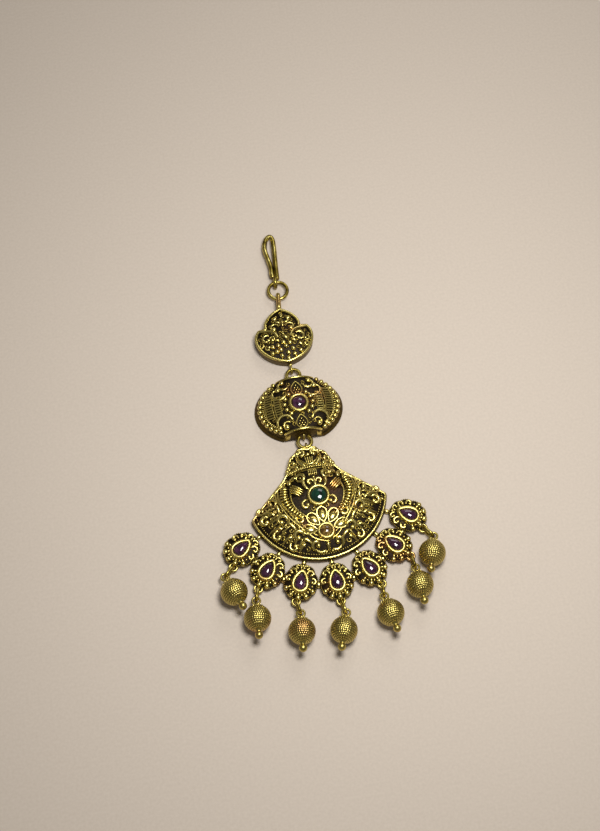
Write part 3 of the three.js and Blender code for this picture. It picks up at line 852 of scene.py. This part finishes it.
def settingParts():
    # one setting about its own middle, long way towards the fan
    wide, long, lobe = setting["halfWidth"], setting["halfLength"], setting["lobeDepth"]
    a = np.linspace(0, 2 * math.pi, 120, endpoint=False)
    swell = lobe * (np.abs(np.sin(5 * a)) - 0.6)
    outline = np.column_stack([(wide + swell) * np.cos(a), (long + swell) * np.sin(a)])
    share = shareOf(outline)

    def ground(x, y):
        out = np.minimum(share(x, y), 1)
        return setting["edge"] + (setting["crown"] - setting["edge"]) * (1 - out**2.2)

    rows = [ringPlacer(outline * s, z) for s, z in ((0.3, 0), (0.97, 0), (1, 0.2), (1, 1.2), (0.99, 1.8))]
    for s in np.linspace(0.95, 0.05, 12):
        rows.append(ringPlacer(outline * s, setting["edge"] + (setting["crown"] - setting["edge"]) * (1 - s**2.2)))
    body = arraysOf(loft(outline, rows))
    lines, ends = scrollWires([
        (2.7, 2.6, 1.15, 0.35, 200, -60, 0.65, 0.42), (1.3, 4.1, 0.95, 0.3, 200, -60, 0.6, 0.35),
        (3.5, 0.4, 1.0, 0.3, 120, -120, 0.6, 0.42),
    ], ground, mirror=True)
    seeds = []
    for angle in (-150, -120, -90, -60, -30):
        t = math.radians(angle)
        seeds.append((4.35 * math.cos(t), 4.75 * math.sin(t), 0.8, 0.8, 0.75, 0))
        seeds.append((3.4 * math.cos(t), 3.9 * math.sin(t), 0.7, 0.42, 0.5, angle))
        t += math.radians(15)
        seeds.append((3.6 * math.cos(t), 4.0 * math.sin(t), 0.4, 0.4, 0.42, 0))
    milled = [(x, y, 0.25, 0.25, 0.25, 0) for x, y in even(outline * 0.97, 56)]
    loop = (0, 4.75, 0.45, 0.45, 0.45, 0)
    grain = balls(grainsOn(seeds + milled + ends + [loop], ground))
    return [ridden(part, ground) for part in (body, wires(lines), grain)]


def makePendant():
    outline = even(fanOutline(), 320)
    share = shareOf(outline)

    def ground(x, y):
        up = np.maximum(y - fan["shoulderY"], 0) / (fan["tip"] - fan["shoulderY"])
        out = np.minimum(share(x, y), 1)
        return fan["rim"] + (fan["crown"] - fan["rim"]) * (1 - out**2.1) * (1 - 0.25 * up) + 1.2 * up

    scrolls, ends = scrollWires(fanScrolls, ground, mirror=True)
    clear = [(*stonesAt["centre"], 3.6), (*stonesAt["flower"], 7), (0, 10, 3), (0, 4.5, 4)]
    clear += [(side * x, y, reach) for side in (1, -1) for x, y, reach in ((5, -0.5, 3.4), (4.5, -6, 2.4))]
    clear += scrollSpots(fanScrolls, mirror=True) + [(side * x, y, 2.3) for x, y in tailSpots for side in (1, -1)]
    curls, curlEnds = scrollWires(curlField(share, 21, 1.75, 0.72, 7, clear, 0.88), ground)
    lines = scrolls + curls + stemWires(fanStems, ground, mirror=True)
    ends += curlEnds
    grains = []
    # smooth outer rim and the rope line inside it
    lines.append((layOn(even(outline, 240) * 0.975, ground, 0.8), 0.8, True))
    lower = arc(fan["radius"] * 0.92, fan["radius"] * 0.92, -166.4, -13.6, count=80)
    grains += beadLine(lower, ground, 0.62, 0.7)
    # double border inside, from shoulder to shoulder
    border = through([(11.8, 1.2), (11.5, -2), (9.4, -7), (6.7, -10.6), (3.5, -14.3), (0, -15.9)], 50)
    inner = border * 0.93
    for side in (1, -1):
        lines.append((layOn(border * (side, 1), ground, 0.6), 0.6, False))
        lines.append((layOn(inner * (side, 1), ground, 0.5), 0.5, False))
    # neck: a rope ridge between two rails, an urn under it and a cup above
    ropeY = 6.9
    grains += [(x, ropeY, 0.75, 0.26, 0.5, 65) for x in np.arange(-7, 7.1, 0.55)]
    for rail in (ropeY - 0.85, ropeY + 0.85):
        lines.append((layOn([(x, rail) for x in np.linspace(-6.6, 6.6, 30)], ground, 0.4), 0.4, False))
    grains += [(x, 4.8, 0.25, 1.3, 0.45, 0) for x in (-1.1, -0.55, 0, 0.55, 1.1)]
    grains += [(x, 9.2, 0.3, 1.5, 0.5, x * -8) for x in (-0.9, -0.3, 0.3, 0.9)]
    grains += [(0, 11.3, 0.7, 0.6, 0.6, 0), (0, 3.2, 0.55, 0.5, 0.5, 0), (0, 7.9, 1.2, 0.35, 0.45, 0)]
    for side in (1, -1):
        grains += [(side * 4.6, 11.4, 0.65, 0.65, 0.6, 0), (side * 3.8, 4.0, 0.45, 0.45, 0.5, 0),
                   (side * 0.9, -18.6, 0.5, 0.5, 0.5, 0), (side * 18.4, -6.2, 0.5, 0.5, 0.5, 0)]
        # wings: striped leaves
        for k, long in enumerate((1.9, 2.5, 2.6, 2.2)):
            shift = (k - 1.5) * 0.66
            grains.append((side * (5.6 - shift * 0.6), shift * 0.8, long, 0.36, 0.8, side * 38))
        # tails: cross ribs between two wires
        tail = even(through(tailSpots, 30), 13, closed=False)
        step = np.gradient(tail, axis=0)
        turns = np.degrees(np.arctan2(step[:, 1], step[:, 0])) + 90
        grains += [(side * x, y, 1.35, 0.42, 0.85, side * turn) for (x, y), turn in zip(tail, turns)]
        for shift in (-1.75, 1.75):
            lines.append((layOn((tail + (shift, shift * 0.4)) * (side, 1), ground, 0.6), 0.6, False))
        heart = bezier((0.3, 7.9), (3.9, 9.2), (3.7, 13.4), (1.2, 12.3), count=30) * (side, 1)
        lines.append((layOn(heart, ground, 0.8), 0.8, False))
        # ribbed leaves and palmettes near the rim
        for heading in (46, 50, 54, 58, 62):
            near, far = outwards(heading * side, 13.6), outwards((heading + 2) * side, 17.6)
            lines += stemWires([(*near, *far, 0.2 * side, 0.55, 0.4)], ground)
        for heading in (66, 71, 76, 81):
            near, far = outwards(heading * side, 13.4), outwards((heading - 1) * side, 17.4)
            lines += stemWires([(*near, *far, 0.3 * side, 0.6, 0.35)], ground)
        for heading in (26, 31, 36):
            near, far = outwards(heading * side, 15.2), outwards((heading + 1) * side, 18.4)
            lines += stemWires([(*near, *far, 0.2 * side, 0.6, 0.4)], ground)
    # five cupped petals about the lower stone
    petals = []
    for angle, width in ((165, 3), (128, 3.2), (92, 3.3), (55, 3.2), (15, 3)):
        edge = petal(angle, 2.4, 6.9, width, stonesAt["flower"])
        lines.append((layOn(edge, ground, 0.7), 0.7, True))
        middle = edge.mean(0)
        petals.append((*middle, 1.9, width * 0.4, 0.7, angle))
        grains.append((*(middle + (edge[18] - middle) * 0.35), 0.8, 0.3, 0.75, angle))
    grainPart = balls(grainsOn(grains + ends, ground) + grainsOn(petals, ground, 0.1))
    shell = plate(outline, ground, rings=52)
    centreRound = arc(2.3, 2.3, 0, 360, stonesAt["centre"], 49)[:-1]
    flowerRound = arc(1.6, 1.6, 0, 360, stonesAt["flower"], 41)[:-1]
    collars = [bezelParts(centreRound, 0.9, 5.0, 7.2), bezelParts(flowerRound, 0.9, 3.4, 5.6)]
    parts = [ridden(part, ground) for part in (shell, wires(lines), grainPart)] + collars
    parts.append(standingEye(0.4, 14.4))
    solder = []
    for row, other in zip(settingRows, settingRows[1:]):
        at = outwards((row["at"] + other["at"]) / 2, setting["orbit"])
        solder.append((*at, 0.95, 1.1, 1.1, 0.88, 0))
    parts.append(balls(solder))
    addPiece("fan_pendant", parts, places["pendant"], castBrass, ["pendant"])
    single = settingParts()
    pearLine = pear(3, 5)
    pearCollar = bezelParts(pearLine, 0.9, 2.4, 4.0)
    for i, row in enumerate(settingRows):
        centre = outwards(row["at"], setting["orbit"])
        spot = Matrix.Translation((*centre, 0))
        turned = spot @ Matrix.Rotation(math.radians(row["at"]), 4, "Z")
        parts = [moved(part, turned) for part in single]
        parts.append(moved(pearCollar, spot @ Matrix.Rotation(math.radians(-row["stone"]), 4, "Z")))
        eyeSpot = centre + outwards(row["eye"], setting["eyeLean"])
        parts.append(moved(torus(1.1, 0.7, 32, 10), Matrix.Translation((*eyeSpot, setting["eyeHeight"]))))
        stalk = balls([(0, setting["halfLength"] + 0.8, 0.9, 1.3, 0.7, 0.7, 90)])
        parts.append(moved(stalk, turned))
        addPiece(f"stone_setting_{i + 1}", parts, places["pendant"], castBrass, ["pendant"])
    centreStone = cabochon(centreRound, 6.2, 6.7, 7.6)
    flowerStone = cabochon(flowerRound, 4.8, 5.1, 5.9)
    addPiece("centre_cabochon", [centreStone], places["pendant"], greenGlass, ["centre_stone"])
    addPiece("flower_cabochon", [flowerStone], places["pendant"], amberGlass, ["flower_stone"])
    for i, row in enumerate(settingRows):
        centre = outwards(row["at"], setting["orbit"])
        spot = places["pendant"] @ Matrix.Translation((*centre, 0)) @ Matrix.Rotation(math.radians(-row["stone"]), 4, "Z")
        addPiece(f"pear_cabochon_{i + 1}", [cabochon(pearLine, 3.0, 3.5, 4.3)], spot, violetGlass,
                 [f"setting_stone_{i + 1}"])


# Drops

granule = {"pitch": 0.68, "rise": 0.17}


def beadParts():
    # a ball covered in staggered grains, hanging towards -Y from its eye at the origin
    radius, reach = drop["radius"] - granule["rise"], drop["eyeReach"]
    bm = bmesh.new()
    bmesh.ops.create_uvsphere(bm, u_segments=176, v_segments=96, radius=1)
    points, faces, _ = arraysOf(bm)
    down = np.arccos(np.clip(points[:, 2], -1, 1))
    round_ = np.arctan2(points[:, 1], points[:, 0]) / (2 * math.pi) + 0.5
    row = down * drop["radius"] / granule["pitch"]
    line = np.floor(row)
    middle = (line + 0.5) * granule["pitch"] / drop["radius"]
    count = np.maximum(np.round(2 * math.pi * drop["radius"] * np.sin(middle) / granule["pitch"]), 1)
    across = (round_ * count + 0.5 * (line % 2)) % 1
    off = np.hypot((row - line) * 2 - 1, across * 2 - 1)
    bump = np.sqrt(np.clip(1 - (off / 1.05) ** 2, 0, 1))
    bump *= (down > math.radians(24)) & (down < math.radians(160))
    body = points * (radius + granule["rise"] * bump)[:, None]
    # grain tops painted bright and the gaps between them dark: a painted highlight on the tops, patina with painted
    # shade in the gaps
    relief = 0.2 + 0.8 * bump
    part = (np.column_stack([body[:, 0], body[:, 2] - reach, -body[:, 1]]), faces, relief)
    tip, tipRadius, neck = drop["tipReach"], drop["tipRadius"], drop["neck"]
    profile = [(0, -tip - tipRadius)]
    profile += [(tipRadius * math.sin(t), -tip - tipRadius * math.cos(t)) for t in np.radians([20, 45, 70, 95, 120, 140])]
    profile += [(neck, -tip + 1.0), (0.85, -tip + 1.2), (1.15, -tip + 1.45), (1.35, -3.5), (0, -3.2)]
    tail = lathe(profile, 28, 0.75)
    crown = [(0, 3), (1.7, 3.42), (1.75, 3.6), (1.1, 3.85), (0.75, 4.1), (0.6, 4.6), (0, 4.7)]
    collar = lathe(crown, 28, 0.8)
    upright = Matrix.Translation((0, -reach, 0)) @ Matrix.Rotation(-math.pi / 2, 4, "X")
    petals = [(1.62 * math.cos(t), 1.62 * math.sin(t), 3.45, 0.5, 0.34, 0.3, math.degrees(t))
              for t in np.linspace(0, 2 * math.pi, 12, endpoint=False)]
    return [part, moved(tail, upright), moved(collar, upright), moved(balls(petals), upright), torus(1.1, 0.7, 32, 10)]


def makeDrops():
    single = beadParts()
    longWay = np.array(longRing(drop["reach"], drop["height"], drop["wire"]))
    ring = wires([(longWay, drop["wire"] * 1.2, True)], 3)
    eyeHeight = drop["radius"] - drop["eyeReach"] * math.sin(math.radians(drop["droop"]))
    climb = math.asin((eyeHeight - setting["eyeHeight"]) / drop["reach"])
    turn = lay["pendant"][2]
    for i, row in enumerate(settingRows):
        start = outwards(row["at"], setting["orbit"]) + outwards(row["eye"], setting["eyeLean"])
        heading = row["ring"] - turn
        end = start + outwards(heading, drop["reach"] * math.cos(climb))
        ringSpot = places["pendant"] @ Matrix.Translation((*start, setting["eyeHeight"]))
        ringSpot = ringSpot @ Matrix.Rotation(math.radians(180 + heading), 4, "Z") @ Matrix.Rotation(climb, 4, "X")
        addPiece(f"long_ring_{i + 1}", [ring], ringSpot, wireBrass, [f"drop_ring_{i + 1}"])
        beadSpot = places["pendant"] @ Matrix.Translation((*end, eyeHeight))
        beadSpot = beadSpot @ Matrix.Rotation(math.radians(row["drop"] - turn), 4, "Z")
        beadSpot = beadSpot @ Matrix.Rotation(math.radians(-drop["droop"]), 4, "X")
        addPiece(f"bead_drop_{i + 1}", single, beadSpot, castBrass, [f"drop_bead_{i + 1}"])


makeHook()
makeRings()
makeLotus()
makeMedallion()
print("hook, rings, lotus and medallion made")
makePendant()
makeDrops()
print("pendant and drops made")


# Table and light

studio = {"key": 0.62, "fill": 0.22, "world": 0.16}


def makeTable():
    bm = bmesh.new()
    bmesh.ops.create_grid(bm, x_segments=8, y_segments=8, size=1.2)
    mesh = bpy.data.meshes.new("table")
    bm.to_mesh(mesh)
    bm.free()
    material, shader = newMaterial("matt_paper")
    spot = addNode(material, "ShaderNodeTexCoord").outputs["Object"]
    fibre = addNode(material, "ShaderNodeTexNoise", links={"Vector": spot, "Scale": perMm(0.8), "Detail": 3})
    tone = ramp(material, fibre.outputs["Fac"], [(0.3, "#d5c7b7"), (0.7, "#dccebe")])
    material.node_tree.links.new(tone, shader.inputs["Base Color"])
    shader.inputs["Roughness"].default_value = 0.9
    mesh.materials.append(material)
    table = bpy.data.objects.new("table", mesh)
    bpy.context.scene.collection.objects.link(table)


def addLight(name, spot, size, power):
    lamp = bpy.data.lights.new(name, "AREA")
    lamp.size = size
    lamp.energy = power
    light = bpy.data.objects.new(name, lamp)
    light.location = origin + Vector(spot)
    light.rotation_euler = (-Vector(spot)).to_track_quat("-Z", "Y").to_euler()
    bpy.context.scene.collection.objects.link(light)


def makeLight():
    addLight("key_softbox", (0.04, -0.03, 0.27), 0.09, studio["key"])
    addLight("fill_softbox", (0.12, 0.26, 0.26), 0.16, studio["fill"])
    world = bpy.data.worlds.new("studio")
    bpy.context.scene.world = world
    world.use_nodes = True
    world.node_tree.nodes["Background"].inputs["Color"].default_value = colour("#f2ece4")
    world.node_tree.nodes["Background"].inputs["Strength"].default_value = studio["world"]
    bpy.context.scene.view_settings.view_transform = "Standard"


makeTable()
makeLight()
print("table and light ready")
